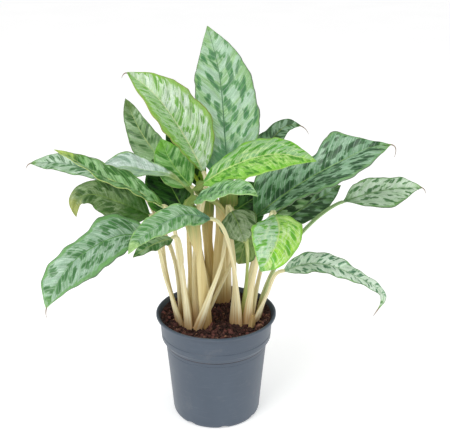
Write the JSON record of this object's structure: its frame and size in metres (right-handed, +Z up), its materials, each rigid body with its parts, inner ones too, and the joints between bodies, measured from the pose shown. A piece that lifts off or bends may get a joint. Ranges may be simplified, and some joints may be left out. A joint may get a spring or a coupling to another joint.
{
  "type": "potted chinese evergreen",
  "caption": "Leafy Chinese evergreen plant with silver-blotched blades on cream stalks, growing in a round tapered nursery pot.",
  "frame": {"origin": "middle of the pot's underside, on the surface the pot stands on", "axes": "+Z up along the pot's axis, front of the plant towards -Y, +X to the right seen from the front"},
  "size_m": [0.3911, 0.1969, 0.3833],
  "materials": {
    "pot_plastic": "satin slate-grey moulded plastic",
    "soil": null,
    "leaf": null,
    "stalk": null,
    "dry_stalk": "dry brown stalk foot"
  },
  "bodies": {
    "root": {"leaf_01": "leaf", "leaf_02": "leaf", "leaf_03": "leaf", "leaf_04": "leaf", "leaf_05": "leaf", "leaf_06": "leaf", "leaf_07": "leaf", "leaf_08": "leaf", "leaf_09": "leaf", "leaf_10": "leaf", "leaf_11": "leaf", "leaf_12": "leaf", "leaf_13": "leaf", "leaf_14": "leaf", "leaf_15": "leaf", "leaf_16": "leaf", "leaf_17": "leaf", "leaf_18": "leaf", "leaf_19": "leaf", "leaf_20": "leaf", "leaf_21": "leaf", "leaf_22": "leaf", "leaf_23": "leaf", "leaf_24": "leaf", "leaf_25": "leaf", "petiole_01": "stalk", "petiole_02": "stalk", "petiole_03": "stalk", "petiole_04": "stalk", "petiole_05": "stalk", "petiole_06": "stalk", "petiole_07": "stalk", "petiole_08": "stalk", "petiole_09": "stalk", "petiole_10": "stalk", "petiole_11": "stalk", "petiole_12": "stalk", "petiole_13": "stalk", "petiole_14": "stalk", "petiole_15": "stalk", "petiole_16": "stalk", "petiole_17": "stalk", "petiole_18": "stalk", "petiole_19": "stalk", "petiole_20": "stalk", "petiole_21": "stalk", "petiole_22": "stalk", "petiole_23": "stalk", "petiole_24": "stalk", "petiole_25": "stalk", "pot": "pot_plastic", "soil": "soil", "stalk_stub": "dry_stalk"}
  },
  "joints": []
}
